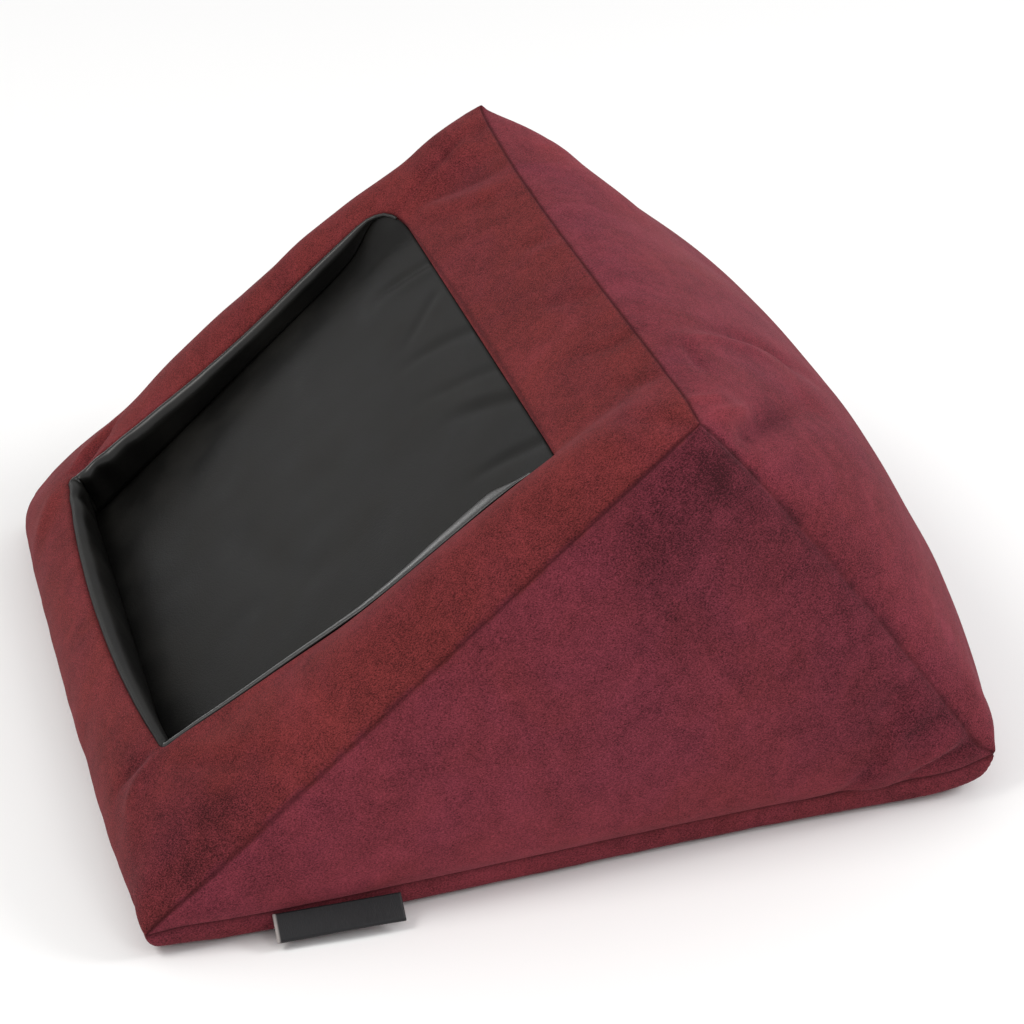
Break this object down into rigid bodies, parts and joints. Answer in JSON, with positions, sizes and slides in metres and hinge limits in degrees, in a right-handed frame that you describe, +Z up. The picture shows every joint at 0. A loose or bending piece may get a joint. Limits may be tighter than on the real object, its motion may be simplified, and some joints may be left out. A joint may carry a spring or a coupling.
{
  "type": "tablet pillow stand",
  "caption": "Wedge-shaped filled velvet pillow with a sloping recess, lined in imitation leather, that holds a tablet for reading.",
  "frame": {"origin": "middle of the footprint, on the surface that the pillow rests on", "axes": "+Z up; +Y from the low front edge to the tall back; +X to the right of a reader who faces the recess"},
  "size_m": [0.3778, 0.3742, 0.1964],
  "materials": {
    "velvet": "burgundy short-pile velvet, soft sheen at grazing angles",
    "leather": "black imitation leather, semi-gloss",
    "satin": "black satin ribbon, bare"
  },
  "bodies": {
    "root": {"cushion": "velvet", "recess_floor": "leather", "recess_wall_bottom": "leather", "recess_wall_right": "leather", "recess_wall_left": "leather", "label": "satin"}
  },
  "joints": []
}
